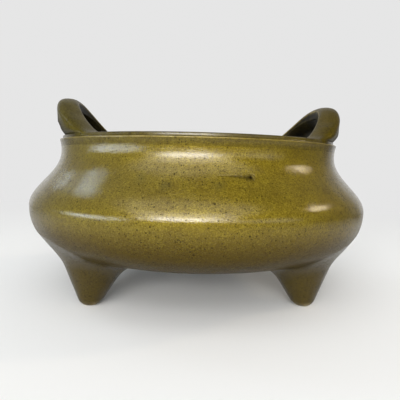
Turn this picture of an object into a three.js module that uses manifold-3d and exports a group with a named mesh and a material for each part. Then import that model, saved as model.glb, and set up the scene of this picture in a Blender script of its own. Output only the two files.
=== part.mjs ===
// Tripod incense burner of cast bronze: a squat round bowl, two bridge handles and three teat feet.
// Lengths are in millimetres. +Z is up, the ground is z = 0 and the bowl's axis is the Z axis.
// The handles stand over the X axis. Two feet are in front, towards -Y, and one is behind.
import * as THREE from "three";
import { mergeVertices } from "three/addons/utils/BufferGeometryUtils.js";
import Module from "manifold-3d";

const wasm = await Module();
wasm.setup();

// Heights above the ground, then how far down from the rim the lip, neck and belly follow each other
const rimTopZ = 70.3;
const undersideZ = 16.6;
const collarHeight = 1.7;
const neckHeight = 4.9;
const shoulderHeight = 22;

// Outside of the bowl, each radius set in or out from the one below it
const bellyRadius = 75;
const neckInset = 13.1;
const lipFlare = 0.6;
const collarSetIn = 1.2;
const collarRounding = 0.5;
const lipChamfer = 0.3;
const undersideFullness = 53;
const bellyFullnessBelow = 20.9;
const bellyFullnessAbove = 8.1;
const neckSweep = 9.2;

// Inside of the bowl
const floorThickness = 6;
const bellyWall = 4.5;
const neckWall = 4.9;
const rimWidth = 7.9;
const rimInnerRounding = 0.5;
const rimDepth = 4.2;
const floorFlatRadius = 32;

// Bridge handles, standing on the flat top of the rim: how they lie across it
const handleInset = 0.5;
const handleThickness = 7.3;
const handleFootFlare = 0.9;
const handleFlare = 1.9;
const handleFlareHeight = 3.5;
const handleLean = 0.05;
const handleCrest = 1.2;
const handleRound = 6;
const handleEdge = 1;
const handleRoundShare = 0.75;
const handleEdgeShare = 0.25;

// Half of a handle, seen square on: lengths along the rim from its middle, heights above the rim
const handleHeight = 16.2;
const handleCrownLength = 13;
const handleShoulderAlong = 18;
const handleShoulderHeight = 12.2;
const handleFlankAlong = 35.5;
const handleFlankHeight = 3.1;
const handleFilletLength = 9.5;
const handleSkirt = 0.5;
const handleCrownShare = 0.62;

// Half of the opening under it
const openingHeight = 11.4;
const openingCrownLength = 10;
const openingShoulderAlong = 20.5;
const openingShoulderHeight = 9.6;
const openingHalfSpan = 25.8;
const openingCornerHeight = 5.5;
const openingCornerSwell = 2;
const openingFootOutset = 0.5;
const openingDraft = 2.4;
const openingCrownShare = 0.8;

// Hidden pegs of the handles
const handlePegRadius = 2.2;
const handlePegDepth = 3;
const handlePegAcross = 3.6;

// Teat feet, leaning slightly out towards the ground
const footInset = 22.6;
const footTipRounding = 6.1;
const footWornDepth = 0.5;
const footTaper = 0.52;
const footLean = 0.14;
const footFilletReach = 8.5;
const footSkirt = 0.6;
const footSpigotRadius = 5;
const footSpigotDepth = 3;

// Fits
const seatGap = 0.3;
const socketClearance = 0.3;

// Mesh fineness
const bowlSegments = 72;
const curveSteps = 8;
const bisections = 40;
const roundingSteps = 3;
const handleCrownSteps = 11;
const handleBaseSteps = 6;
const handleSectionSteps = 4;
const footSides = 32;
const pegSides = 20;

const bronze = { color: 0x6f6230, roughness: 0.36, metalness: 0.85 };
const handleBronze = { color: 0x665a2e, roughness: 0.38, metalness: 0.85 };
const footBronze = { color: 0x4f4423, roughness: 0.42, metalness: 0.85 };

const lipZ = rimTopZ - collarHeight;
const neckZ = lipZ - neckHeight;
const bellyZ = neckZ - shoulderHeight;
const neckRadius = bellyRadius - neckInset;
const lipRadius = neckRadius + lipFlare;
const collarRadius = lipRadius - collarSetIn;
const rimInnerRadius = collarRadius - rimWidth;
const footTipRadius = bellyRadius - footInset;

// Solids and meshes

// Turns a closed geometry into a solid, with shared corners joined and flat slivers dropped.
function solidOf(geometry) {
  const plain = geometry.clone();
  plain.deleteAttribute("normal");
  plain.deleteAttribute("uv");
  const joined = mergeVertices(plain, 1e-4);
  const corners = joined.index.array;
  const triangles = [];
  for (let i = 0; i < corners.length; i += 3) {
    const [a, b, c] = [corners[i], corners[i + 1], corners[i + 2]];
    if (a !== b && b !== c && c !== a) triangles.push(a, b, c);
  }
  return new wasm.Manifold(new wasm.Mesh({
    numProp: 3,
    vertProperties: joined.attributes.position.array,
    triVerts: new Uint32Array(triangles),
  }));
}

function geometryOf(solid) {
  const mesh = solid.getMesh();
  const geometry = new THREE.BufferGeometry();
  geometry.setAttribute("position", new THREE.BufferAttribute(mesh.vertProperties, 3));
  geometry.setIndex(new THREE.BufferAttribute(mesh.triVerts, 1));
  geometry.computeVertexNormals();
  return geometry;
}

function namedMesh(name, solid, finish) {
  const mesh = new THREE.Mesh(geometryOf(solid), new THREE.MeshStandardMaterial(finish));
  mesh.name = name;
  return mesh;
}

// Joins closed rings of points, from first to last, and closes both ends with a fan.
function loft(rings) {
  const sides = rings[0].length;
  const positions = rings.flat().flatMap((point) => [point.x, point.y, point.z]);
  const triangles = [];
  for (let ring = 0; ring < rings.length - 1; ring++) {
    for (let side = 0; side < sides; side++) {
      const a = ring * sides + side;
      const b = ring * sides + (side + 1) % sides;
      triangles.push(a, b, b + sides, a, b + sides, a + sides);
    }
  }
  for (const [ring, flip] of [[0, true], [rings.length - 1, false]]) {
    const centre = new THREE.Vector3();
    rings[ring].forEach((point) => centre.addScaledVector(point, 1 / sides));
    const centreIndex = positions.length / 3;
    positions.push(centre.x, centre.y, centre.z);
    for (let side = 0; side < sides; side++) {
      const a = ring * sides + side;
      const b = ring * sides + (side + 1) % sides;
      triangles.push(centreIndex, flip ? b : a, flip ? a : b);
    }
  }
  const geometry = new THREE.BufferGeometry();
  geometry.setAttribute("position", new THREE.Float32BufferAttribute(positions, 3));
  geometry.setIndex(triangles);
  return geometry;
}

function uprightPeg(radius, bottomZ, topZ, x, y) {
  const peg = new THREE.CylinderGeometry(radius, radius, topZ - bottomZ, pegSides);
  peg.rotateX(Math.PI / 2);
  peg.translate(x, y, (bottomZ + topZ) / 2);
  return solidOf(peg);
}

// Bowl

const point2 = (x, y) => new THREE.Vector2(x, y);

// Outer curves of the bowl: the underside up to the belly, then the shoulder up to the neck.
const underside = new THREE.CubicBezierCurve(
  point2(0, undersideZ),
  point2(undersideFullness, undersideZ),
  point2(bellyRadius, bellyZ - bellyFullnessBelow),
  point2(bellyRadius, bellyZ),
);
const shoulder = new THREE.CubicBezierCurve(
  point2(bellyRadius, bellyZ),
  point2(bellyRadius, bellyZ + bellyFullnessAbove),
  point2(neckRadius, neckZ - neckSweep),
  point2(neckRadius, neckZ),
);

// Height of the bowl's underside at a distance from its axis.
function undersideHeight(radius) {
  let low = 0;
  let high = 1;
  for (let step = 0; step < bisections; step++) {
    const middle = (low + high) / 2;
    if (underside.getPoint(middle).x < radius) low = middle;
    else high = middle;
  }
  return underside.getPoint(low).y;
}

function outerPath() {
  const path = new THREE.Path();
  path.moveTo(0, undersideZ);
  path.curves.push(underside, shoulder);
  path.currentPoint.copy(shoulder.v3);
  path.lineTo(lipRadius, lipZ - lipChamfer);
  path.lineTo(lipRadius - lipChamfer, lipZ);
  path.lineTo(collarRadius, lipZ + lipChamfer);
  path.lineTo(collarRadius, rimTopZ - collarRounding);
  path.absarc(collarRadius - collarRounding, rimTopZ - collarRounding, collarRounding, 0, Math.PI / 2);
  return path;
}

// The inside leaves a thick lip, a thinner wall and a flat floor.
function innerPath() {
  const floorZ = undersideZ + floorThickness;
  const bellyInner = bellyRadius - bellyWall;
  const neckInner = neckRadius - neckWall;
  const lipUnderZ = rimTopZ - rimDepth;
  const path = new THREE.Path();
  path.moveTo(rimInnerRadius + rimInnerRounding, rimTopZ);
  path.absarc(rimInnerRadius + rimInnerRounding, rimTopZ - rimInnerRounding, rimInnerRounding,
    Math.PI / 2, Math.PI);
  path.bezierCurveTo(rimInnerRadius, lipUnderZ, neckInner, lipUnderZ, neckInner, neckZ - rimDepth / 2);
  path.bezierCurveTo(neckInner, neckZ - neckSweep, bellyInner, bellyZ + bellyFullnessAbove,
    bellyInner, bellyZ);
  path.bezierCurveTo(bellyInner, bellyZ - bellyFullnessBelow + floorThickness,
    undersideFullness, floorZ, floorFlatRadius, floorZ);
  path.lineTo(0, floorZ);
  return path;
}

const pathPoints = (path, steps) => path.curves.flatMap((curve, index) => {
  const points = curve.getPoints(curve instanceof THREE.EllipseCurve ? roundingSteps
    : curve instanceof THREE.LineCurve ? 1 : steps);
  return index === 0 ? points : points.slice(1);
});

// Turns a profile of radius and height round the bowl's axis.
function revolve(profile) {
  const turned = new THREE.LatheGeometry(profile, bowlSegments);
  return turned.rotateX(Math.PI / 2);
}

function bowlShell() {
  const outer = pathPoints(outerPath(), curveSteps);
  const inner = pathPoints(innerPath(), curveSteps);
  return solidOf(revolve([...outer, ...inner]));
}

// The bowl's outer form, filled, lowered by the gap that its feet keep to it.
function loweredBowlForm() {
  const outer = pathPoints(outerPath(), curveSteps);
  return solidOf(revolve([...outer, point2(0, rimTopZ)])).translate([0, 0, -seatGap]);
}

// Handles

// Half of the arch's upper line: the crown and flank, then a fillet that runs out into the rim.
const upperCrown = new THREE.CubicBezierCurve(
  point2(0, handleHeight),
  point2(handleCrownLength, handleHeight),
  point2(handleShoulderAlong, handleShoulderHeight),
  point2(handleFlankAlong, handleFlankHeight),
);
const upperBase = new THREE.QuadraticBezierCurve(
  point2(handleFlankAlong, handleFlankHeight),
  point2(handleFlankAlong + handleFilletLength / 2, handleSkirt),
  point2(handleFlankAlong + handleFilletLength, handleSkirt),
);

// Half of the opening's line: its crown and side, then a round lower corner.
const openingCorner = point2(openingHalfSpan, openingCornerHeight);
const openingCrown = new THREE.CubicBezierCurve(
  point2(0, openingHeight),
  point2(openingCrownLength, openingHeight),
  point2(openingShoulderAlong, openingShoulderHeight),
  openingCorner,
);
const openingBase = new THREE.CubicBezierCurve(
  openingCorner,
  openingCorner.clone().addScaledVector(openingCrown.getTangent(1), openingCornerSwell),
  point2(openingHalfSpan + openingCornerSwell, 0),
  point2(openingHalfSpan + openingFootOutset, 0),
);

// Points along a crown and the base that follows it. The share is where the crown's steps end.
function handlePoints(crown, base, crownShare) {
  const line = new THREE.CurvePath();
  line.add(crown);
  line.add(base);
  const points = [];
  for (let step = 0; step < handleCrownSteps; step++) {
    points.push(line.getPoint(step / handleCrownSteps * crownShare));
  }
  for (let step = 0; step <= handleBaseSteps; step++) {
    points.push(line.getPoint(crownShare + step / handleBaseSteps * (1 - crownShare)));
  }
  return points;
}

const handleInnerRadius = rimInnerRadius + handleInset;
const handleMidRadius = handleInnerRadius + handleThickness / 2;

// Section of the arch where it is as high as given: x from the mouth side outwards, y up from the
// opening. The mouth side is flat, the outside turns over the top in a full round, and the opening
// narrows towards the outside.
function archSection(height) {
  const edge = Math.min(handleEdge, height * handleEdgeShare);
  const crest = height + Math.min(handleCrest, height * handleEdgeShare);
  const round = Math.min(handleRound, height * handleRoundShare);
  const middle = handleThickness / 2;
  const section = new THREE.Path();
  section.moveTo(edge, 0);
  section.lineTo(handleThickness - edge, -openingDraft);
  section.quadraticCurveTo(handleThickness, -openingDraft, handleThickness, edge - openingDraft);
  section.lineTo(handleThickness, height - round);
  section.bezierCurveTo(handleThickness, height, handleThickness - middle / 3, crest, middle, crest);
  section.bezierCurveTo(middle / 2, crest, edge / 2, height + edge / 2, 0, height - edge / 2);
  section.lineTo(0, edge);
  section.quadraticCurveTo(0, 0, edge, 0);
  return pathPoints(section, handleSectionSteps).slice(1).reverse();
}

// Places a point of the arch over the rim: along it, above it and across it from the mouth side.
function overRim(along, above, across) {
  const angle = along / handleMidRadius;
  const belowFlare = Math.max(1 - above / handleFlareHeight, 0);
  const flare = handleFlare - (handleFlare - handleFootFlare) * belowFlare ** 2;
  const radius = handleInnerRadius + handleLean * above + across * (1 + flare / handleThickness);
  return new THREE.Vector3(radius * Math.cos(angle), radius * Math.sin(angle), rimTopZ + above);
}

// One ring of the arch between a point of its opening's line and one of its upper line.
function archRing(side, lower, upper) {
  const height = lower.distanceTo(upper);
  return archSection(height).map(({ x, y }) => {
    const { x: along, y: above } = lower.clone().lerp(upper, y / height);
    return overRim(side * along, Math.max(above, 0), x);
  });
}

function handleSolid() {
  const lower = handlePoints(openingCrown, openingBase, openingCrownShare);
  const upper = handlePoints(upperCrown, upperBase, handleCrownShare);
  const last = lower.length - 1;
  const half = (side) => lower.map((point, index) => archRing(side, point, upper[index]));
  const underRing = (side) => half(side)[last].map((point) => point.clone().setZ(rimTopZ));
  const rings = [underRing(-1), ...half(-1).reverse(), ...half(1).slice(1), underRing(1)];
  let solid = solidOf(loft(rings));
  for (const { x, y } of handlePegPlaces()) {
    solid = solid.add(uprightPeg(handlePegRadius, rimTopZ - handlePegDepth, rimTopZ + handleSkirt, x, y));
  }
  return solid;
}

// Each leg of a handle has a peg in the rim, under the middle of its foot.
function handlePegPlaces() {
  const along = (openingHalfSpan + handleFlankAlong) / 2;
  return [-1, 1].map((side) => overRim(side * along, 0, handlePegAcross));
}

// Feet

// Centre and half width of the plain cone at a height above the ground.
const footCentre = (z) => footTipRadius - footLean * z;
const tipCentreZ = footTipRounding - footWornDepth;
const coneAngle = Math.atan(footTaper);
const coneStartZ = tipCentreZ - footTipRounding * Math.sin(coneAngle);
const coneStartWidth = footTipRounding * Math.cos(coneAngle);
const footHalfWidth = (z) => coneStartWidth + footTaper * (z - coneStartZ);

// A point on the foot at an angle round its own centre line, 0 being away from the bowl's axis.
function footPoint(angle, z, halfWidth) {
  return new THREE.Vector3(footCentre(z) + halfWidth * Math.cos(angle), halfWidth * Math.sin(angle), z);
}

// Follows the cone up at one angle to where it would meet the underside of the bowl.
function footCrease(angle) {
  let low = coneStartZ;
  let high = bellyZ;
  for (let step = 0; step < bisections; step++) {
    const middle = (low + high) / 2;
    const point = footPoint(angle, middle, footHalfWidth(middle));
    if (undersideHeight(Math.hypot(point.x, point.y)) > middle) low = middle;
    else high = middle;
  }
  return footPoint(angle, low, footHalfWidth(low));
}

// One curve of the foot, from its worn tip up to the skirt that lies under the bowl.
function footCurve(angle) {
  const points = [];
  const wornAngle = Math.acos(1 - footWornDepth / footTipRounding);
  for (let step = 0; step <= roundingSteps + 1; step++) {
    const turn = THREE.MathUtils.lerp(wornAngle, Math.PI / 2 - coneAngle, step / (roundingSteps + 1));
    const z = tipCentreZ - footTipRounding * Math.cos(turn);
    points.push(footPoint(angle, z, footTipRounding * Math.sin(turn)));
  }
  const crease = footCrease(angle);
  const slope = Math.atan2(crease.z - coneStartZ, footHalfWidth(crease.z) - coneStartWidth);
  const startZ = crease.z - footFilletReach * Math.sin(slope);
  const start = footPoint(angle, startZ, footHalfWidth(startZ));
  const away = new THREE.Vector3(Math.cos(angle), Math.sin(angle), 0);
  const ahead = crease.clone().add(away);
  const climb = Math.atan(undersideHeight(Math.hypot(ahead.x, ahead.y)) - crease.z);
  const landing = crease.clone().addScaledVector(away, footFilletReach * Math.cos(climb));
  const seatZ = undersideHeight(Math.hypot(landing.x, landing.y));
  landing.z = seatZ - seatGap - footSkirt;
  const fillet = new THREE.QuadraticBezierCurve3(start, crease, landing);
  points.push(...fillet.getPoints(curveSteps - 2));
  points.push(landing.clone().setZ(seatZ + seatGap));
  return points;
}

function footSolid(bowlForm) {
  const curves = [];
  for (let side = 0; side < footSides; side++) {
    curves.push(footCurve(side / footSides * 2 * Math.PI));
  }
  const rings = curves[0].map((_, level) => curves.map((curve) => curve[level]));
  const spigot = footSpigot(0);
  return solidOf(loft(rings)).subtract(bowlForm).add(spigot);
}

// A round spigot stands up from the foot into a blind socket in the bowl's floor.
function footSpigot(clearance) {
  const seatZ = undersideHeight(footCentre(undersideZ));
  const bottomZ = (clearance === 0 ? coneStartZ + footSpigotRadius : undersideZ - footSpigotDepth);
  return uprightPeg(footSpigotRadius + clearance, bottomZ, seatZ + footSpigotDepth + clearance,
    footCentre(undersideZ), 0);
}

const degrees = THREE.MathUtils.radToDeg;
const footNames = ["foot_back", "foot_front_left", "foot_front_right"];
const footAngles = footNames.map((_, index) => Math.PI / 2 + index * 2 * Math.PI / footNames.length);
const handleSides = [["handle_right", 0], ["handle_left", Math.PI]];

// The bowl with the sockets of its handles and feet
let bowl = bowlShell();
for (const angle of footAngles) {
  bowl = bowl.subtract(footSpigot(socketClearance).rotate([0, 0, degrees(angle)]));
}
for (const [, angle] of handleSides) {
  for (const { x, y } of handlePegPlaces()) {
    const socket = uprightPeg(handlePegRadius + socketClearance, rimTopZ - handlePegDepth - socketClearance,
      rimTopZ + handlePegDepth, x, y);
    bowl = bowl.subtract(socket.rotate([0, 0, degrees(angle)]));
  }
}

const group = new THREE.Group();
group.add(namedMesh("bowl", bowl, bronze));

const handle = handleSolid();
for (const [name, angle] of handleSides) {
  const mesh = namedMesh(name, handle, handleBronze);
  mesh.rotation.z = angle;
  group.add(mesh);
}

const bowlForm = loweredBowlForm();
footAngles.forEach((angle, index) => {
  const mesh = namedMesh(footNames[index], footSolid(bowlForm), footBronze);
  mesh.rotation.z = angle;
  group.add(mesh);
});

export default group;
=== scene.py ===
# Tripod incense burner of cast bronze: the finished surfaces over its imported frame.
# Values are in millimetres and degrees. Meshes and nodes work in metres, in the frame's own axes.
import math
import bpy
from mathutils import Matrix, Vector, noise


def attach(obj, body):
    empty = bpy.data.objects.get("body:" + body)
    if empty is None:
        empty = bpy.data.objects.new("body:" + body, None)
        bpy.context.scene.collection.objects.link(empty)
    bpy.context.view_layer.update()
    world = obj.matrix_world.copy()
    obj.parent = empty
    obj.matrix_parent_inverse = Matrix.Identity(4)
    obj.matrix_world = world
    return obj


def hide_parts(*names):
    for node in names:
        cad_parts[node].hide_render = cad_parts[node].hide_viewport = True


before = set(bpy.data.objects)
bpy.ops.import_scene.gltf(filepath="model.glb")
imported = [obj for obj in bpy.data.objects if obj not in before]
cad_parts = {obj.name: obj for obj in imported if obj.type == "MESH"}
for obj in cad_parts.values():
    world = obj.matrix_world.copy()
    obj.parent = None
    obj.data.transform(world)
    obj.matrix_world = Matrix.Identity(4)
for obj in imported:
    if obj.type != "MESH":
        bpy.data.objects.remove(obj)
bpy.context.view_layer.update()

MM = 0.001

# Heights above the ground
UNDERSIDE_Z = 16.6
BELLY_Z = 40.9
NECK_Z = 63.7
LIP_Z = 68.8
RIM_TOP_Z = 70.3

# Outside of the bowl
BELLY_RADIUS = 75.0
NECK_RADIUS = 61.9
LIP_RADIUS = 62.5
COLLAR_RADIUS = 61.3
COLLAR_ROUNDING = 0.5
LIP_ROUNDING = 0.25
UNDERSIDE_FULLNESS = 53.0
BELLY_FULLNESS_BELOW = 20.4
BELLY_FULLNESS_ABOVE = 8.0
NECK_SWEEP = 9.2

# Coves: one under the lip's narrow upright face, and a small one from the lip to the collar
LIP_FACE_HEIGHT = 0.6
LIP_FACE_TUCK = 0.05
LIP_COVE_SWEEP_BELOW = 1.4
LIP_COVE_SWEEP_ABOVE = 2.2
COLLAR_COVE_WIDTH = 0.5
COLLAR_COVE_HEIGHT = 0.5
COLLAR_COVE_START = 0.1
COLLAR_COVE_SWEEP = 0.15

# Inside of the bowl
FLOOR_THICKNESS = 6.0
BELLY_WALL = 4.5
NECK_WALL = 4.9
RIM_INNER_RADIUS = 53.4
RIM_INNER_ROUNDING = 0.5
RIM_DEPTH = 4.2
RIM_BORDER = 1.6
FLOOR_FLAT_RADIUS = 32.0

# Bridge handles: how they lie across the rim
HANDLE_INNER_RADIUS = 53.9
HANDLE_THICKNESS = 7.3
HANDLE_LEG_FLARE = 0.9
HANDLE_FLARE = 1.9
HANDLE_FLARE_HEIGHT = 3.5
HANDLE_LEAN = 0.05
HANDLE_CREST = 1.2
HANDLE_ROUND = 6.0
HANDLE_EDGE = 1.0
HANDLE_ROUND_SHARE = 0.75
HANDLE_EDGE_SHARE = 0.25
HANDLE_SUNK_DEPTH = 0.8
OPENING_DRAFT = 4.8

# Upper edge of a handle on the mouth side, worn and with a painted highlight along it: where it starts and
# is brightest, as depth and height from its corner, and how far below the corner it ends and has faded
EDGE_START = (0.16, 0.25)
EDGE_BRIGHT = (0.12, 0.18)
EDGE_END = 0.3
EDGE_FADED = 0.7

# Half of a handle, seen square on: points as distance along the rim and height above it
UPPER_CROWN = ((0, 16.2), (13, 16.2), (18, 12.2), (35.5, 3.1))
UPPER_BASE = ((35.5, 3.1), (40.25, 0.3), (45, 0.03))
OPENING_CROWN = ((0, 11.4), (10, 11.4), (20.5, 9.6), (25.8, 5.5))
OPENING_BASE = ((25.8, 5.5), (27.38, 4.28), (27.8, 0), (26.3, 0))
UPPER_CROWN_SHARE = 0.62
OPENING_CROWN_SHARE = 0.8

# Legs of the handles over the collar: lengths along the rim, and the outer part that reaches the lip
LEG_TOE_RUN = 9.0
LEG_HEEL_REACH = 3.0
LEG_HEEL_RUN = 4.5
LEG_OUTER_SHARE = 0.6
LEG_LIP_OVERLAP = 0.1

# Teat feet
FOOT_NAMES = ("foot_back", "foot_front_left", "foot_front_right")
FIRST_FOOT_TURN = 90
FOOT_TIP_RADIUS = 52.4
FOOT_TIP_ROUNDING = 6.1
FOOT_WORN_DEPTH = 0.5
FOOT_WORN_HEIGHT = 2.5
FOOT_TAPER = 0.52
FOOT_LEAN = 0.14
FOOT_FILLET_REACH = 8.5
FOOT_FILLET_PULL = 0.62
FOOT_TANGENT_STEP = 0.5
FOOT_SKIRT_WIDTH = 0.6
FOOT_SKIRT_DEPTH = 0.08
FOOT_SUNK_DEPTH = 1.5
FOOT_SUNK_SHARES = (0.0, 0.3, 0.6, 0.95)

# Unevenness of the cast walls, always inwards: depth and length of its waves, and finer waves on them
WAVE_DEPTH = 0.2
WAVE_LENGTH = 26.0
FINE_WAVE_SHARE = 0.35
FINE_WAVE_RATIO = 2.4

# Fineness of the meshes
BOWL_SEGMENTS = 320
CROWN_STEPS = 48
BASE_STEPS = 24
FOOT_SIDES = 96
FOOT_TIP_STEPS = 8
FLAT_FLOOR_STEPS = 6
SMOOTH_ANGLE = 40
HALVINGS = 40
SAME_POINT = 0.0001

# Wear and soot of each stretch of surface, from 0 to 1. The wear value also paints highlights, and the
# soot value also paints shade.
PLAIN = (0.0, 0.0)
SOOTED_AND_SHADED = (0.0, 1.0)
# Painted shade under the lip
UNDER_LIP_SHADE = (0.0, 0.3)
# The lip's edge: wear, and a painted highlight along it
LIP_WORN_HIGHLIGHT = (0.5, 0.0)
# The collar: painted shade. The rim's top: soot and painted shade.
COLLAR_SIDE_SHADE = (0.0, 0.55)
COLLAR_EDGE_SHADE = (0.1, 0.7)
RIM_TOP = (0.05, 0.8)
MOUTH_EDGE = (0.5, 0.5)
HANDLE_TOP = (0.1, 0.1)
# The handles' top edge: wear, and a painted highlight that fades into painted shade below it
HANDLE_TOP_WORN_HIGHLIGHT = (1.0, 0.2)
HANDLE_EDGE_FADING = (0.25, 0.8)
# Painted shade at the edges and on the inside of the handles' openings
OPENING_INNER_SHADE = (0.15, 0.95)
OPENING_OUTER_SHADE = (0.1, 1.0)

# Casting pit on the front of the shoulder, and a scratch that leads into it from the left. The radius of
# the bowl and half the scratch's width are given at both ends. The edges are in radii or half widths.
PIT_AZIMUTH = 15.6
PIT_HEIGHT = 55.8
PIT_RADIUS = 1.25
PIT_AT_RADIUS = 65.1
SCRATCH_LENGTH = 11.0
SCRATCH_RISE = 0.2
SCRATCH_AT_RADIUS = 65.0
SCRATCH_WIDTHS = (0.95, 0.35)
PIT_EDGE = (1.6, 0.2)
SCRATCH_EDGE = (1.3, 0.1)
RAGGEDNESS = 0.45

# Grey smudges on the front of the shoulder: azimuth, height, radius there, and reach
SMUDGES = ((-16.5, 54.8, 66.0, 4.0), (-8.8, 52.6, 68.1, 4.0), (5.9, 53.0, 67.6, 4.0))

# Where dark specks crowd on the front: azimuth, height and radius there, and from how far to how near
CROWD_PLACE = (-9.0, 48.0, 70.0)
CROWD_REACH = (50.0, 14.0)

# Where the colour changes, from where a change starts to where it is complete. The first, painted cool
# light on the left side, is ragged. The next two are painted shade, low on the belly and on the underside.
LEFT_LIGHT_X = (30.0, -50.0)
LEFT_LIGHT_RAGGED = 30.0
LOW_SHADE_HEIGHTS = (41.0, 31.0)
UNDERSIDE_SHADE_HEIGHTS = (38.0, 25.0)
SPECKLED_HEIGHTS = (42.0, 34.0)
POLISHED_HEIGHTS = (29.0, 42.0)

# Patterns of the patina: waves per metre, octaves of detail and roughness
CLOUDS = (18.0, 3.0, 0.5)
SPECK_ZONES = (34.0, 3.0, 0.5)
GLOSS_PATCHES = (70.0, 4.0, 0.6)
SURFACE_WAVES = (85.0, 2.0, 0.5)
MOTTLE = (150.0, 5.0, 0.65)
WORN_PATCHES = (160.0, 3.0, 0.6)
SCRATCH_BREAKS = (380.0, 3.0, 0.5)
RAGGED_EDGES = (700.0, 3.0, 0.5)
COARSE_GRAIN = (700.0, 4.0, 0.7)
FINE_GRAIN = (2300.0, 2.0, 0.7)

# Specks: cells per metre, and their smallest and largest radius in cells
FINE_SPECKS = (1300.0, 0.12, 0.40)
LARGE_SPECKS = (800.0, 0.10, 0.30)
SPECK_SOFTNESS = 0.10
ZONE_SOFTNESS = 0.02

# Relief of the patina: strength and depth
WAVE_RELIEF = (0.24, 1.0)
MARK_RELIEF = (0.6, 0.6)
METAL_RELIEF = (0.45, 0.3)
COAT_RELIEF = (0.18, 0.3)

# Camera: its place, direction and lens, as the photograph's perspective gives them
CAMERA_DISTANCE = 206.8
CAMERA_HEIGHT = 59.6
CAMERA_PITCH = -4.74
CAMERA_ROLL = 1.49
CAMERA_PAN = 0.41
VESSEL_TURN = 3.5
FOCAL_PIXELS = 433.0
FRAME_PIXELS = 400.0
SENSOR_WIDTH = 36.0
CLIP_NEAR = 10.0
CLIP_FAR = 50000.0

# Studio: tones of the backdrop, of the dim room, and what the pale left side adds. The edges are cosines
# of the angle from straight behind the vessel, and from straight left of it.
BACKGROUND = 0.79
ROOM = 0.15
ROOM_LEFT = 0.20
BACKDROP_EDGE = (0.60, 0.85)
PALE_SIDE_EDGE = (-0.3, 0.5)
WHITE = (1.0, 1.0, 1.0, 1.0)
SKY_TINT = (0.97, 0.99, 1.0, 1.0)
FLOOR_TINT = (0.82, 0.82, 0.81, 1.0)
FLOOR_NEAR = 120.0
FLOOR_FAR = 480.0
FLOOR_HALF_SIZE = 8000.0
GLOW_ABOVE = 0.15
GLOW_FRONT = 0.15
GLOW_BACK = 0.30

# Soft lamps: azimuth to the right of the camera's side, elevation, angular size, radiance and tint
LAMP_DISTANCE = 3000.0
LAMPS = (
    ("window", -8, 15, (38, 12), 15.0, (1.0, 1.0, 1.0)),
    ("window_glow", -7, 23, (54, 34), 4.0, (1.0, 1.0, 1.0)),
    ("high_window", -7, 54, (70, 36), 1.4, (1.0, 1.0, 1.0)),
    ("right_wall", 42, 10, (44, 16), 1.4, (1.0, 1.0, 1.0)),
    ("left_strip", -66, -1, (42, 11), 14.5, (0.74, 0.86, 1.0)),
    ("left_sky", -112, 41, (12, 0.9), 40.0, (0.70, 0.86, 1.0)),
    ("left_glint", -131, 26, (5, 0.7), 26.0, (0.70, 0.86, 1.0)),
    ("right_lamp", 96, 31, (2.5, 5), 85.0, (1.0, 0.84, 0.62)),
)


# Curves and meshes

def bezier_at(points, t):
    level = [Vector(p) for p in points]
    while len(level) > 1:
        level = [a.lerp(b, t) for a, b in zip(level, level[1:])]
    return level[0]


def bezier(points, steps):
    """Points along a Bezier curve of any degree, its ends included."""
    return [bezier_at(points, step / steps) for step in range(steps + 1)]


def arc(centre, radius, start, end, steps):
    """Points of a circle in the plane, from one angle in degrees to another."""
    angles = [math.radians(start + (end - start) * i / steps) for i in range(steps + 1)]
    return [Vector((centre[0] + radius * math.cos(a), centre[1] + radius * math.sin(a)))
            for a in angles]


def halved(low, high, holds):
    """Where a condition that holds at the low end stops holding, by halving the stretch."""
    for _ in range(HALVINGS):
        middle = (low + high) / 2
        if holds(middle):
            low = middle
        else:
            high = middle
    return low


def tagged(*runs):
    """One line of points from runs that follow each other, each point with its run's wear and soot, which
    also carry painted highlights and painted shade.
    """
    line = []
    for points, tag in runs:
        for p in points:
            if not line or (Vector(p) - line[-1][0]).length > SAME_POINT:
                line.append((Vector(p), tag))
    return line


def uneven(point):
    """A cast wall is never quite round: draws a point in towards the axis by a smooth random depth.

    The middle of the bowl and the free ends of the feet stay true.
    """
    radius = math.hypot(point.x, point.y)
    if radius < WAVE_LENGTH or point.z < UNDERSIDE_Z:
        return point
    fine = noise.noise(point * FINE_WAVE_RATIO / WAVE_LENGTH)
    wave = noise.noise(point / WAVE_LENGTH) + FINE_WAVE_SHARE * fine
    depth = WAVE_DEPTH * min(max(0.5 + 0.5 * wave, 0.0), 1.0)
    share = (radius - depth) / radius
    return Vector((point.x * share, point.y * share, point.z))


def make_mesh(name, points, faces, tags=None):
    """A smooth mesh. Tags are each point's wear and soot, which its material reads. The wear also paints
    highlights and the soot also paints shade.
    """
    mesh = bpy.data.meshes.new(name)
    mesh.from_pydata([Vector(p) * MM for p in points], [], faces)
    mesh.validate()
    mesh.shade_smooth()
    piece = bpy.data.objects.new(name, mesh)
    bpy.context.scene.collection.objects.link(piece)
    if tags:
        for index, label in enumerate(("wear_and_highlight", "soot_and_shade")):
            layer = mesh.attributes.new(label, "FLOAT", "POINT")
            layer.data.foreach_set("value", [tag[index] for tag in tags])
        bpy.context.view_layer.objects.active = piece
        piece.select_set(True)
        bpy.ops.object.shade_smooth_by_angle(angle=math.radians(SMOOTH_ANGLE))
        piece.select_set(False)
    return piece


def revolve(profile, segments):
    """Turns a tagged profile that starts and ends on the axis into a closed form."""
    (start, start_tag), *between, (end, end_tag) = profile
    points = [Vector((0, 0, start.y))]
    tags = [start_tag]
    for segment in range(segments):
        angle = 2 * math.pi * segment / segments
        points += [Vector((p.x * math.cos(angle), p.x * math.sin(angle), p.y)) for p, _ in between]
        tags += [tag for _, tag in between]
    points.append(Vector((0, 0, end.y)))
    tags.append(end_tag)
    faces = []
    count = len(between)
    for segment in range(segments):
        a = 1 + segment * count
        b = 1 + (segment + 1) % segments * count
        faces.append((0, b, a))
        faces += [(a + i, b + i, b + i + 1, a + i + 1) for i in range(count - 1)]
        faces.append((a + count - 1, b + count - 1, len(points) - 1))
    return points, faces, tags


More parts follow.
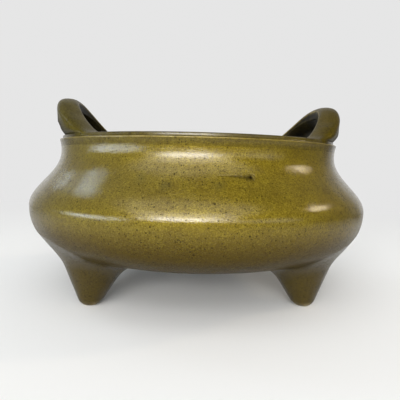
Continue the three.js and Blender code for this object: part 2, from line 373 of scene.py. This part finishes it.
def loft(rings, ring_tags):
    """Joins closed rings of points, with one list of tags per ring, and closes the ends with fans."""
    sides = len(rings[0])
    points = [p for ring in rings for p in ring]
    tags = [tag for ring in ring_tags for tag in ring]
    faces = []
    for r in range(len(rings) - 1):
        for s in range(sides):
            a = r * sides + s
            b = r * sides + (s + 1) % sides
            faces.append((a, b, b + sides, a + sides))
    for ring, flip in ((0, True), (len(rings) - 1, False)):
        points.append(sum(rings[ring], Vector((0, 0, 0))) / sides)
        tags.append(tags[ring * sides])
        centre = len(points) - 1
        for s in range(sides):
            a = ring * sides + s
            b = ring * sides + (s + 1) % sides
            faces.append((centre, b, a) if flip else (centre, a, b))
    return points, faces, tags


# Bowl: curves of its section, as radius and height

BELLY_INNER = BELLY_RADIUS - BELLY_WALL
NECK_INNER = NECK_RADIUS - NECK_WALL
NECK_INNER_Z = NECK_Z - RIM_DEPTH / 2
FLOOR_Z = UNDERSIDE_Z + FLOOR_THICKNESS

UNDERSIDE = ((0, UNDERSIDE_Z), (UNDERSIDE_FULLNESS, UNDERSIDE_Z),
             (BELLY_RADIUS, BELLY_Z - BELLY_FULLNESS_BELOW), (BELLY_RADIUS, BELLY_Z))
SHOULDER = ((BELLY_RADIUS, BELLY_Z), (BELLY_RADIUS, BELLY_Z + BELLY_FULLNESS_ABOVE),
            (NECK_RADIUS, NECK_Z - NECK_SWEEP), (NECK_RADIUS, NECK_Z))
LIP_COVE = ((NECK_RADIUS, NECK_Z), (NECK_RADIUS, NECK_Z + LIP_COVE_SWEEP_BELOW),
            (NECK_RADIUS, LIP_Z - LIP_COVE_SWEEP_ABOVE),
            (LIP_RADIUS - LIP_FACE_TUCK, LIP_Z - LIP_FACE_HEIGHT))
COLLAR_COVE = ((COLLAR_RADIUS + COLLAR_COVE_WIDTH, LIP_Z + COLLAR_COVE_START),
               (COLLAR_RADIUS, LIP_Z + COLLAR_COVE_SWEEP), (COLLAR_RADIUS, LIP_Z + COLLAR_COVE_HEIGHT))
UNDER_RIM = ((RIM_INNER_RADIUS, RIM_TOP_Z - RIM_INNER_ROUNDING),
             (RIM_INNER_RADIUS, RIM_TOP_Z - RIM_DEPTH),
             (NECK_INNER, RIM_TOP_Z - RIM_DEPTH), (NECK_INNER, NECK_INNER_Z))
INNER_SHOULDER = ((NECK_INNER, NECK_INNER_Z), (NECK_INNER, NECK_Z - NECK_SWEEP),
                  (BELLY_INNER, BELLY_Z + BELLY_FULLNESS_ABOVE), (BELLY_INNER, BELLY_Z))
INNER_UNDERSIDE = ((BELLY_INNER, BELLY_Z),
                   (BELLY_INNER, BELLY_Z - BELLY_FULLNESS_BELOW + FLOOR_THICKNESS),
                   (UNDERSIDE_FULLNESS, FLOOR_Z), (FLOOR_FLAT_RADIUS, FLOOR_Z))


def underside_height(radius):
    return bezier_at(UNDERSIDE, halved(0.0, 1.0, lambda t: bezier_at(UNDERSIDE, t).x < radius)).y


def bowl_profile():
    """Radius and height round the whole section, from the axis outside to the axis inside."""
    lip_centre = (LIP_RADIUS - LIP_ROUNDING, LIP_Z - LIP_ROUNDING)
    collar_centre = (COLLAR_RADIUS - COLLAR_ROUNDING, RIM_TOP_Z - COLLAR_ROUNDING)
    rim_centre = (RIM_INNER_RADIUS + RIM_INNER_ROUNDING, RIM_TOP_Z - RIM_INNER_ROUNDING)
    rim_flat = [(COLLAR_RADIUS - RIM_BORDER, RIM_TOP_Z), (RIM_INNER_RADIUS + RIM_BORDER, RIM_TOP_Z)]
    flat_floor = [(FLOOR_FLAT_RADIUS * i / FLAT_FLOOR_STEPS, FLOOR_Z)
                  for i in range(FLAT_FLOOR_STEPS, -1, -1)]
    lip_cove = bezier(LIP_COVE, steps=14)
    # The lip's edge gets a painted highlight; under the lip, the collar and the rim's top get painted
    # shade
    return tagged(
        (bezier(UNDERSIDE, steps=48), PLAIN),
        (bezier(SHOULDER, steps=40), PLAIN),
        (lip_cove[:7], PLAIN),
        (lip_cove[7:], UNDER_LIP_SHADE),
        (arc(lip_centre, LIP_ROUNDING, 0, 80, steps=4), LIP_WORN_HIGHLIGHT),
        (bezier(COLLAR_COVE, steps=4), COLLAR_SIDE_SHADE),
        (arc(collar_centre, COLLAR_ROUNDING, 0, 90, steps=6), COLLAR_EDGE_SHADE),
        (rim_flat, RIM_TOP),
        (arc(rim_centre, RIM_INNER_ROUNDING, 90, 180, steps=6), MOUTH_EDGE),
        (bezier(UNDER_RIM, steps=12), SOOTED_AND_SHADED),
        (bezier(INNER_SHOULDER, steps=20), SOOTED_AND_SHADED),
        (bezier(INNER_UNDERSIDE, steps=24), SOOTED_AND_SHADED),
        (flat_floor, SOOTED_AND_SHADED),
    )


def make_bowl():
    points, faces, tags = revolve(bowl_profile(), BOWL_SEGMENTS)
    return make_mesh("bowl_cast", [uneven(p) for p in points], faces, tags)


# Handles

HANDLE_MID_RADIUS = HANDLE_INNER_RADIUS + HANDLE_THICKNESS / 2


def arch_section(height):
    """Section of the arch: x from the mouth side outwards, y up from the opening."""
    thick = HANDLE_THICKNESS
    edge = min(HANDLE_EDGE, height * HANDLE_EDGE_SHARE)
    crest = height + min(HANDLE_CREST, height * HANDLE_EDGE_SHARE)
    turn = min(HANDLE_ROUND, height * HANDLE_ROUND_SHARE)
    middle = thick / 2
    corner = height - edge / 2
    outer_edge = ((thick - edge, -OPENING_DRAFT), (thick, -OPENING_DRAFT), (thick, edge - OPENING_DRAFT))
    back = ((thick, height - turn), (thick, height), (thick - middle / 3, crest), (middle, crest))
    top = ((middle, crest), (middle / 2, crest), (edge / 2, height + edge / 2),
           (EDGE_START[0], corner + EDGE_START[1]))
    top_edge = ((EDGE_BRIGHT[0], corner + EDGE_BRIGHT[1]), (0, corner), (0, corner - EDGE_END))
    inner_edge = ((0, edge), (0, 0), (edge, 0))
    # The top edge gets a painted highlight, and the opening's faces get painted shade
    outline = tagged(
        ([(middle, -OPENING_DRAFT / 2)], SOOTED_AND_SHADED),
        (bezier(outer_edge, steps=5), OPENING_OUTER_SHADE),
        (bezier(back, steps=14), PLAIN),
        (bezier(top, steps=8), HANDLE_TOP),
        (bezier(top_edge, steps=3), HANDLE_TOP_WORN_HIGHLIGHT),
        ([(0, corner - EDGE_FADED)], HANDLE_EDGE_FADING),
        ([(0, height / 2)], SOOTED_AND_SHADED),
        (bezier(inner_edge, steps=5), OPENING_INNER_SHADE),
    )
    return outline[::-1]


def leg_cover(along):
    """How fully a leg spreads over the collar: not by the opening, nor where its toe runs out."""
    reach = abs(along)
    toe = (UPPER_BASE[-1][0] - reach) / LEG_TOE_RUN
    heel = (reach - OPENING_BASE[-1][0] + LEG_HEEL_REACH) / LEG_HEEL_RUN
    return max(0.0, min(1.0, toe, heel))


def over_rim(along, above, across):
    """A point of the arch: along the rim, above it, and across it from the mouth side."""
    angle = along / HANDLE_MID_RADIUS
    leg_flare = HANDLE_LEG_FLARE * leg_cover(along)
    below_flare = min(max(1 - above / HANDLE_FLARE_HEIGHT, 0), 1)
    flare = HANDLE_FLARE - (HANDLE_FLARE - leg_flare) * below_flare ** 2
    radius = HANDLE_INNER_RADIUS + HANDLE_LEAN * above + across * (1 + flare / HANDLE_THICKNESS)
    return Vector((radius * math.cos(angle), radius * math.sin(angle), RIM_TOP_Z + above))


def sunk_depth(along, across):
    """How deep the end of a leg reaches: into the rim's top, and outside down to the lip."""
    outer = max(0.0, (across / HANDLE_THICKNESS - LEG_OUTER_SHARE) / (1 - LEG_OUTER_SHARE))
    to_lip = RIM_TOP_Z - LIP_Z + LEG_LIP_OVERLAP
    return HANDLE_SUNK_DEPTH + (to_lip - HANDLE_SUNK_DEPTH) * outer * leg_cover(along)


def arch_ring(side, lower, upper, sunk=False):
    """One ring of the arch between a point of its opening's line and one of its upper line."""
    height = (upper - lower).length
    ring, tags = [], []
    for p, tag in arch_section(height):
        place = lower.lerp(upper, p.y / height)
        above = -sunk_depth(place.x, p.x) if sunk else max(place.y, 0)
        ring.append(over_rim(side * place.x, above, p.x))
        tags.append(tag)
    return ring, tags


def evenly(crown, base, crown_share):
    """Evenly spaced points along a crown and the base that follows it, the share of them on the crown."""
    line = bezier(crown, steps=200) + bezier(base, steps=100)[1:]
    lengths = [0.0]
    for a, b in zip(line, line[1:]):
        lengths.append(lengths[-1] + (b - a).length)
    shares = [crown_share * i / CROWN_STEPS for i in range(CROWN_STEPS)]
    shares += [crown_share + (1 - crown_share) * i / BASE_STEPS for i in range(BASE_STEPS + 1)]
    points, at = [], 0
    for share in shares:
        reach = share * lengths[-1]
        while at < len(line) - 2 and lengths[at + 1] < reach:
            at += 1
        part = (reach - lengths[at]) / (lengths[at + 1] - lengths[at])
        points.append(line[at].lerp(line[at + 1], part))
    return points


def make_handle(name, turn):
    """A handle from one leg's sunk end over the arch to the other's, turned round the bowl's axis."""
    lower = evenly(OPENING_CROWN, OPENING_BASE, OPENING_CROWN_SHARE)
    upper = evenly(UPPER_CROWN, UPPER_BASE, UPPER_CROWN_SHARE)
    half = {side: [arch_ring(side, a, b) for a, b in zip(lower, upper)] for side in (-1, 1)}
    ends = {side: arch_ring(side, lower[-1], upper[-1], sunk=True) for side in (-1, 1)}
    stations = [ends[-1], *half[-1][::-1], *half[1][1:], ends[1]]
    points, faces, tags = loft([ring for ring, _ in stations], [tag for _, tag in stations])
    spin = Matrix.Rotation(math.radians(turn), 3, "Z")
    return make_mesh(name, [uneven(spin @ p) for p in points], faces, tags)


# Feet

TIP_CENTRE_Z = FOOT_TIP_ROUNDING - FOOT_WORN_DEPTH
CONE_ANGLE = math.atan(FOOT_TAPER)
CONE_START_Z = TIP_CENTRE_Z - FOOT_TIP_ROUNDING * math.sin(CONE_ANGLE)
CONE_START_WIDTH = FOOT_TIP_ROUNDING * math.cos(CONE_ANGLE)


def foot_half_width(z):
    return CONE_START_WIDTH + FOOT_TAPER * (z - CONE_START_Z)


def foot_point(angle, z, half_width):
    """A point at an angle round the foot's own centre line, 0 being away from the bowl's axis."""
    centre = FOOT_TIP_RADIUS - FOOT_LEAN * z
    return Vector((centre + half_width * math.cos(angle), half_width * math.sin(angle), z))


def on_underside(point, sink=0.0):
    height = underside_height(math.hypot(point.x, point.y))
    return Vector((point.x, point.y, height + sink))


def foot_crease(angle):
    """Where the plain cone would meet the underside at one angle."""
    def is_below(z):
        p = foot_point(angle, z, foot_half_width(z))
        return underside_height(math.hypot(p.x, p.y)) > z
    z = halved(CONE_START_Z, BELLY_Z, is_below)
    return foot_point(angle, z, foot_half_width(z))


def foot_curve(angle):
    """One curve of the foot, from its worn tip to the underside and on to its hidden end."""
    worn = math.acos(1 - FOOT_WORN_DEPTH / FOOT_TIP_ROUNDING)
    points = []
    for step in range(FOOT_TIP_STEPS + 1):
        turn = worn + (math.pi / 2 - CONE_ANGLE - worn) * step / FOOT_TIP_STEPS
        z = TIP_CENTRE_Z - FOOT_TIP_ROUNDING * math.cos(turn)
        points.append(foot_point(angle, z, FOOT_TIP_ROUNDING * math.sin(turn)))

    crease = foot_crease(angle)
    slope = math.atan2(crease.z - CONE_START_Z, foot_half_width(crease.z) - CONE_START_WIDTH)
    start_z = crease.z - FOOT_FILLET_REACH * math.sin(slope)
    start = foot_point(angle, start_z, foot_half_width(start_z))
    away = Vector((math.cos(angle), math.sin(angle), 0))
    climb = math.atan(on_underside(crease + away).z - crease.z)
    landing = on_underside(crease + away * FOOT_FILLET_REACH * math.cos(climb))
    tangent = (on_underside(landing - away * FOOT_TANGENT_STEP) - landing).normalized()
    pull = (landing - crease).length * FOOT_FILLET_PULL
    fillet = (start, start.lerp(crease, FOOT_FILLET_PULL), landing + tangent * pull, landing)
    points += bezier(fillet, steps=20)

    edge = landing + away * FOOT_SKIRT_WIDTH
    middle = foot_point(angle, crease.z, 0.0)
    points.append(on_underside(edge, sink=FOOT_SKIRT_DEPTH))
    points += [on_underside(edge.lerp(middle, share), sink=FOOT_SUNK_DEPTH)
               for share in FOOT_SUNK_SHARES]
    return points


def make_foot(name, turn):
    """A foot that stands on the +X side of the axis, turned to its place round it."""
    curves = [foot_curve(2 * math.pi * side / FOOT_SIDES) for side in range(FOOT_SIDES)]
    rings = [[curve[level] for curve in curves] for level in range(len(curves[0]))]
    tags = [[(max(0.0, 1 - p.z / FOOT_WORN_HEIGHT), 0.0) for p in ring] for ring in rings]
    points, faces, tags = loft(rings, tags)
    spin = Matrix.Rotation(math.radians(turn), 3, "Z")
    return make_mesh(name, [uneven(spin @ p) for p in points], faces, tags)


# Node materials

def rgb(red, green, blue):
    """Linear colour from sRGB bytes."""
    def linear(byte):
        c = byte / 255
        return c / 12.92 if c <= 0.04045 else ((c + 0.055) / 1.055) ** 2.4
    return (linear(red), linear(green), linear(blue), 1.0)


class Nodes:
    """Short calls for building the nodes of a material or a world."""

    def __init__(self, owner):
        owner.use_nodes = True
        self.tree = owner.node_tree
        self.tree.nodes.clear()

    def add(self, kind, inputs=None, **settings):
        node = self.tree.nodes.new(kind)
        for key, value in settings.items():
            setattr(node, key, value)
        for key, value in (inputs or {}).items():
            self.set(node.inputs[key], value)
        return node

    def set(self, socket, value):
        if isinstance(value, bpy.types.NodeSocket):
            self.tree.links.new(value, socket)
        else:
            socket.default_value = value

    def noise(self, where, scale, detail, roughness):
        return self.add("ShaderNodeTexNoise", {"Vector": where, "Scale": scale, "Detail": detail,
                                               "Roughness": roughness}).outputs["Fac"]

    def spread(self, value, low, high, out_low=0.0, out_high=1.0):
        """Maps a range of values onto another, and holds its ends outside."""
        node = self.add("ShaderNodeMapRange", {"Value": value, "From Min": low, "From Max": high,
                                               "To Min": out_low, "To Max": out_high})
        return node.outputs["Result"]

    def along(self, length, stretch, out_low=0.0, out_high=1.0):
        """The same for a length and the two places, in millimetres, between which it changes."""
        return self.spread(length, stretch[0] * MM, stretch[1] * MM, out_low, out_high)

    def math(self, operation, first, second):
        return self.add("ShaderNodeMath", {0: first, 1: second}, operation=operation).outputs["Value"]

    def times(self, first, second):
        return self.math("MULTIPLY", first, second)

    def vector(self, operation, first, second=(0.0, 0.0, 0.0)):
        node = self.add("ShaderNodeVectorMath", {0: first, 1: second}, operation=operation)
        return node.outputs["Vector"]

    def measure(self, operation, first, second=(0.0, 0.0, 0.0)):
        """One number from vectors, such as their distance."""
        node = self.add("ShaderNodeVectorMath", {0: first, 1: second}, operation=operation)
        return node.outputs["Value"]

    def mix(self, amount, first, second):
        node = self.add("ShaderNodeMix", data_type="RGBA")
        self.set(node.inputs[0], amount)
        self.set(node.inputs[6], first)
        self.set(node.inputs[7], second)
        return node.outputs[2]

    def layered(self, colour, layers):
        """Lays tones over a colour in turn, each as thickly as its amount says."""
        for amount, tone in layers:
            colour = self.mix(amount, colour, tone)
        return colour

    def bump(self, height, strength, depth, over=None):
        """A normal bumped by a height, over another one if given. Depth is in millimetres."""
        inputs = {"Height": height, "Strength": strength, "Distance": depth * MM}
        if over is not None:
            inputs["Normal"] = over
        return self.add("ShaderNodeBump", inputs).outputs["Normal"]

    def tag(self, name):
        return self.add("ShaderNodeAttribute", attribute_name=name).outputs["Fac"]


# Bronze patina

# Tones over the patina. Some are painted light: cool light on the left side, shade on the underside, and
# the shade and highlights carried by the soot and wear values.
PAINTED_LEFT_LIGHT = rgb(92, 92, 48)
UNDERSIDE_SHADE = rgb(44, 35, 2)
SMUDGE_GREY = rgb(58, 57, 32)
SPECK_BROWN = rgb(26, 20, 5)
SOOT_AND_SHADE_BLACK = rgb(20, 20, 18)
WORN_AND_HIGHLIGHT_BRIGHT = rgb(160, 142, 86)
PIT_DARK = rgb(14, 9, 2)


def front_of_bowl(azimuth, height, radius):
    """A place on the bowl in metres, by its angle to the right of the photograph's view."""
    angle = math.radians(azimuth - VESSEL_TURN)
    return Vector((radius * math.sin(angle), -radius * math.cos(angle), height)) * MM


def pit_and_scratch(n, where):
    """How deep a point lies in the casting pit, and how far it is touched by the scratch."""
    pit = front_of_bowl(PIT_AZIMUTH, PIT_HEIGHT, PIT_AT_RADIUS)
    tail_azimuth = PIT_AZIMUTH - math.degrees(SCRATCH_LENGTH / PIT_AT_RADIUS)
    tail = front_of_bowl(tail_azimuth, PIT_HEIGHT + SCRATCH_RISE, SCRATCH_AT_RADIUS)
    ragged = n.spread(n.noise(where, *RAGGED_EDGES), 0.3, 0.7, -RAGGEDNESS, RAGGEDNESS)
    reach = n.times(n.measure("DISTANCE", where, pit), 1 / (PIT_RADIUS * MM))
    hole = n.spread(n.math("ADD", reach, ragged), *PIT_EDGE)

    line = tail - pit
    offset = n.vector("SUBTRACT", where, pit)
    share = n.times(n.measure("DOT_PRODUCT", offset, line), 1 / line.length_squared)
    inside = n.add("ShaderNodeClamp", {"Value": share}).outputs["Result"]
    nearest = n.add("ShaderNodeVectorMath", {0: line, "Scale": inside}, operation="SCALE")
    away = n.measure("DISTANCE", offset, nearest.outputs["Vector"])
    width = n.spread(inside, 0.0, 1.0, SCRATCH_WIDTHS[0] * MM, SCRATCH_WIDTHS[1] * MM)
    across = n.math("DIVIDE", away, width)
    groove = n.spread(n.math("ADD", across, ragged), *SCRATCH_EDGE)
    fading = n.spread(inside, 0.0, 1.0, 0.9, 0.25)
    broken = n.spread(n.noise(where, *SCRATCH_BREAKS), 0.35, 0.6, 0.3, 1.0)
    return hole, n.times(n.times(groove, broken), fading)


def smudged(n, where, mottle):
    """How far a point lies in one of the grey smudges on the front of the shoulder."""
    amount = 0.0
    for azimuth, height, radius, reach in SMUDGES:
        away = n.measure("DISTANCE", where, front_of_bowl(azimuth, height, radius))
        amount = n.math("MAXIMUM", n.along(away, (reach, 0.0)), amount)
    return n.spread(n.math("ADD", amount, n.times(mottle, 0.4)), 0.4, 1.2)


def specks(n, where, zone, scale, smallest, largest):
    """Small dark spots of uneven size, thick in some zones and few elsewhere."""
    cells = n.add("ShaderNodeTexVoronoi", {"Vector": where, "Scale": scale})
    chance = n.add("ShaderNodeSeparateColor", {"Color": cells.outputs["Color"]}).outputs
    radius = n.spread(chance["Red"], 0.0, 1.0, smallest, largest)
    outside = n.math("SUBTRACT", cells.outputs["Distance"], radius)
    spot = n.spread(outside, SPECK_SOFTNESS, -SPECK_SOFTNESS)
    chosen = n.spread(n.math("SUBTRACT", zone, chance["Green"]), -ZONE_SOFTNESS, ZONE_SOFTNESS)
    return n.times(n.times(spot, chosen), n.spread(chance["Blue"], 0.0, 1.0, 0.35, 1.0))


def all_specks(n, where, place, smudge):
    """Fine and larger specks, thickest on the front, on the low belly, in smudges and in loose zones."""
    crowd_away = n.measure("DISTANCE", where, front_of_bowl(*CROWD_PLACE))
    crowded = n.times(n.along(crowd_away, CROWD_REACH), 0.8)
    loose = n.spread(n.noise(where, *SPECK_ZONES), 0.36, 0.66, 0.2, 0.8)
    low = n.along(place["Z"], SPECKLED_HEIGHTS, 0.0, 0.9)
    zone = n.math("MAXIMUM", n.math("MAXIMUM", crowded, loose), low)
    large_zone = n.math("MAXIMUM", n.times(zone, 0.25), n.times(smudge, 0.6))
    fine = specks(n, where, n.math("MAXIMUM", zone, smudge), *FINE_SPECKS)
    large = specks(n, where, large_zone, *LARGE_SPECKS)
    return n.math("MAXIMUM", n.times(fine, 0.85), large)


def patina(name, base, pale, dark, coat=1.0, low_polish=0.25, edge_tint=(0.20, 0.15, 0.03, 1.0)):
    """Semi-gloss olive bronze: clouds and mottle, dark specks, bright worn edges and dull soot. Some of it
    is painted light: highlights on worn edges, shade carried with the soot, cool light on the left side
    and shade low on the belly.

    The coat is a thin gloss over the metal, and low_polish the share of it that is left near the feet.
    """
    material = bpy.data.materials.new(name)
    n = Nodes(material)
    where = n.add("ShaderNodeTexCoord").outputs["Object"]
    place = n.add("ShaderNodeSeparateXYZ", {"Vector": where}).outputs
    cloud = n.spread(n.noise(where, *CLOUDS), 0.36, 0.64)
    mottle = n.spread(n.noise(where, *MOTTLE), 0.35, 0.65)
    coarse = n.noise(where, *COARSE_GRAIN)
    grain = n.noise(where, *FINE_GRAIN)

    left_light_x = n.math("ADD", place["X"], n.times(cloud, LEFT_LIGHT_RAGGED * MM))
    smudge = smudged(n, where, mottle)
    spots = all_specks(n, where, place, smudge)
    soot_and_shade = n.times(n.tag("soot_and_shade"), n.spread(mottle, 0.0, 1.0, 0.75, 1.0))
    wear_and_highlight = n.times(n.tag("wear_and_highlight"), n.spread(n.noise(where, *WORN_PATCHES), 0.36, 0.6, 0.2, 1.0))
    hole, scratch = pit_and_scratch(n, where)
    marks = n.math("MAXIMUM", hole, scratch)
    colour = n.layered(base, (
        (n.times(cloud, 0.5), pale),
        # Painted cool light on the left side
        (n.along(left_light_x, LEFT_LIGHT_X, 0.0, 0.45), PAINTED_LEFT_LIGHT),
        (n.times(mottle, 0.35), dark),
        # Painted shade, darker towards the bottom of the belly and on the underside
        (n.along(place["Z"], LOW_SHADE_HEIGHTS, 0.0, 0.85), dark),
        (n.along(place["Z"], UNDERSIDE_SHADE_HEIGHTS, 0.0, 0.7), UNDERSIDE_SHADE),
        (n.spread(coarse, 0.40, 0.64, 0.0, 0.45), dark),
        (n.spread(grain, 0.40, 0.64, 0.0, 0.60), dark),
        (n.spread(grain, 0.48, 0.36, 0.0, 0.25), pale),
        (n.times(smudge, 0.35), SMUDGE_GREY),
        (n.times(spots, 0.9), SPECK_BROWN),
        # Soot, and painted shade in the handles' openings, under the lip, on the collar and on the rim's
        # top
        (soot_and_shade, SOOT_AND_SHADE_BLACK),
        # Wear, and painted highlights on the lip's edge and the handles' top edge
        (n.times(wear_and_highlight, 0.8), WORN_AND_HIGHLIGHT_BRIGHT),
        (n.times(marks, 0.95), PIT_DARK),
    ))

    rough = n.spread(n.noise(where, *GLOSS_PATCHES), 0.3, 0.7, 0.44, 0.52)
    dull = n.math("MAXIMUM", n.times(soot_and_shade, 0.6), n.times(n.math("MAXIMUM", spots, marks), 0.9))
    polish = n.along(place["Z"], POLISHED_HEIGHTS, low_polish, 1.0)
    wave = n.bump(n.noise(where, *SURFACE_WAVES), *WAVE_RELIEF)
    dent = n.bump(n.math("SUBTRACT", 1.0, marks), *MARK_RELIEF, over=wave)
    shader = n.add("ShaderNodeBsdfPrincipled", {
        "Base Color": colour,
        "Metallic": 0.45,
        "Roughness": n.math("ADD", rough, n.times(soot_and_shade, 0.2)),
        "Normal": n.bump(n.times(grain, coarse), *METAL_RELIEF, over=dent),
        "Specular IOR Level": 0.1,
        "Specular Tint": edge_tint,
        "Coat Weight": n.times(n.times(n.math("SUBTRACT", 1.0, dull), polish), coat),
        "Coat Roughness": 0.14,
        "Coat Normal": n.bump(grain, *COAT_RELIEF, over=dent),
    })
    n.add("ShaderNodeOutputMaterial", {"Surface": shader.outputs["BSDF"]})
    return material


# Surroundings

def room_tone(n, direction):
    """Even for the camera. The metal mirrors it behind the vessel, and a dim room to the other sides.

    The room is paler at the left.
    """
    behind = (math.sin(math.radians(VESSEL_TURN)), math.cos(math.radians(VESSEL_TURN)), 0.0)
    left = (-behind[1], behind[0], 0.0)
    backdrop = n.spread(n.measure("DOT_PRODUCT", direction, behind), *BACKDROP_EDGE, ROOM, BACKGROUND)
    pale_side = n.spread(n.measure("DOT_PRODUCT", direction, left), *PALE_SIDE_EDGE, 0.0, ROOM_LEFT)
    mirrored = n.math("MINIMUM", n.math("ADD", backdrop, pale_side), BACKGROUND)
    camera_ray = n.add("ShaderNodeLightPath").outputs["Is Camera Ray"]
    return n.math("MAXIMUM", mirrored, n.times(camera_ray, BACKGROUND))


def make_floor():
    """Lit and shadowed near the vessel. Further out it takes on the even tone of the background."""
    material = bpy.data.materials.new("pale_floor")
    n = Nodes(material)
    where = n.add("ShaderNodeTexCoord").outputs["Object"]
    reach = n.measure("LENGTH", where)
    far = n.add("ShaderNodeMapRange", {"Value": reach, "From Min": FLOOR_NEAR * MM,
                                       "From Max": FLOOR_FAR * MM}, interpolation_type="SMOOTHSTEP")
    lit = n.add("ShaderNodeBsdfDiffuse", {"Color": FLOOR_TINT})
    tone = room_tone(n, n.vector("NORMALIZE", where))
    even = n.add("ShaderNodeEmission", {"Color": WHITE, "Strength": tone})
    blend = n.add("ShaderNodeMixShader", {0: far.outputs[0], 1: lit.outputs[0], 2: even.outputs[0]})
    n.add("ShaderNodeOutputMaterial", {"Surface": blend.outputs[0]})
    half = FLOOR_HALF_SIZE
    corners = [(-half, -half, 0), (half, -half, 0), (half, half, 0), (-half, half, 0)]
    floor = make_mesh("floor", corners, [(0, 1, 2, 3)])
    floor.data.materials.append(material)


def make_world():
    """The camera and the metal see the room. The diffuse light is stronger from above and behind."""
    world = bpy.data.worlds.new("studio")
    n = Nodes(world)
    direction = n.add("ShaderNodeTexCoord").outputs["Generated"]
    parts = n.add("ShaderNodeSeparateXYZ", {"Vector": direction}).outputs
    above = n.spread(parts["Z"], -0.05, 0.75, 0.0, GLOW_ABOVE)
    behind = n.spread(parts["Y"], -0.9, 0.7, GLOW_FRONT, GLOW_BACK)
    glow = n.add("ShaderNodeBackground", {"Color": SKY_TINT, "Strength": n.math("ADD", above, behind)})
    even = n.add("ShaderNodeBackground", {"Color": WHITE, "Strength": room_tone(n, direction)})
    path = n.add("ShaderNodeLightPath").outputs
    seen = n.math("MAXIMUM", path["Is Camera Ray"], path["Is Glossy Ray"])
    seen = n.math("MAXIMUM", seen, path["Is Transmission Ray"])
    blend = n.add("ShaderNodeMixShader", {0: seen, 1: glow.outputs[0], 2: even.outputs[0]})
    n.add("ShaderNodeOutputWorld", {"Surface": blend.outputs[0]})
    bpy.context.scene.world = world


def softbox(name, azimuth, elevation, spread, radiance, tint):
    """A soft rectangular lamp, which the camera doesn't see. Spread is its angular width and height."""
    width, height = (2 * LAMP_DISTANCE * math.tan(math.radians(angle / 2)) * MM for angle in spread)
    light = bpy.data.lights.new(name, "AREA")
    light.shape = "RECTANGLE"
    light.size = width
    light.size_y = height
    light.energy = radiance * math.pi * width * height
    light.color = tint
    lamp = bpy.data.objects.new(name, light)
    bpy.context.scene.collection.objects.link(lamp)
    turn = math.radians(azimuth - VESSEL_TURN)
    rise = math.radians(elevation)
    level = math.cos(rise)
    towards = Vector((math.sin(turn) * level, -math.cos(turn) * level, math.sin(rise)))
    lamp.location = (Vector((0, 0, BELLY_Z)) + towards * LAMP_DISTANCE) * MM
    lamp.rotation_mode = "QUATERNION"
    lamp.rotation_quaternion = (-towards).to_track_quat("-Z", "Y")
    lamp.visible_camera = False


def make_camera():
    """The camera stands where the photograph's perspective puts it, turned round the vessel."""
    pitch = math.radians(CAMERA_PITCH)
    pan = math.radians(CAMERA_PAN)
    roll = math.radians(CAMERA_ROLL)
    ahead = math.cos(pitch)
    forward = Vector((math.sin(pan) * ahead, math.cos(pan) * ahead, math.sin(pitch)))
    level = forward.cross(Vector((0, 0, 1))).normalized()
    above = level.cross(forward)
    right = level * math.cos(roll) + above * math.sin(roll)
    up = above * math.cos(roll) - level * math.sin(roll)
    turn = Matrix.Rotation(math.radians(-VESSEL_TURN), 3, "Z")
    axes = [turn @ v for v in (right, up, -forward)]
    camera = bpy.data.objects.new("camera", bpy.data.cameras.new("camera"))
    bpy.context.scene.collection.objects.link(camera)
    place = turn @ Vector((0, -CAMERA_DISTANCE, CAMERA_HEIGHT)) * MM
    camera.matrix_world = Matrix.Translation(place) @ Matrix(axes).transposed().to_4x4()
    camera.data.sensor_width = SENSOR_WIDTH
    camera.data.lens = SENSOR_WIDTH * FOCAL_PIXELS / FRAME_PIXELS
    camera.data.clip_start = CLIP_NEAR * MM
    camera.data.clip_end = CLIP_FAR * MM
    bpy.context.scene.camera = camera


def dress(piece, material, node):
    piece.data.materials.append(material)
    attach(piece, "root")
    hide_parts(node)


make_camera()

bowl_bronze = patina("bowl_patina", rgb(124, 106, 10), rgb(135, 120, 34), rgb(74, 57, 1))
handle_bronze = patina("handle_patina", rgb(92, 76, 4), rgb(102, 88, 16), rgb(52, 44, 6), coat=0.25,
                       edge_tint=(0.14, 0.12, 0.05, 1.0))
foot_bronze = patina("foot_patina", rgb(104, 86, 12), rgb(114, 98, 26), rgb(72, 58, 6), low_polish=0.6)

dress(make_bowl(), bowl_bronze, "bowl")
dress(make_handle("handle_right_cast", 0), handle_bronze, "handle_right")
dress(make_handle("handle_left_cast", 180), handle_bronze, "handle_left")
for index, foot in enumerate(FOOT_NAMES):
    turn = FIRST_FOOT_TURN + index * 360 / len(FOOT_NAMES)
    dress(make_foot(foot + "_cast", turn), foot_bronze, foot)

make_floor()
make_world()
for lamp in LAMPS:
    softbox(*lamp)
bpy.context.scene.view_settings.view_transform = "Standard"
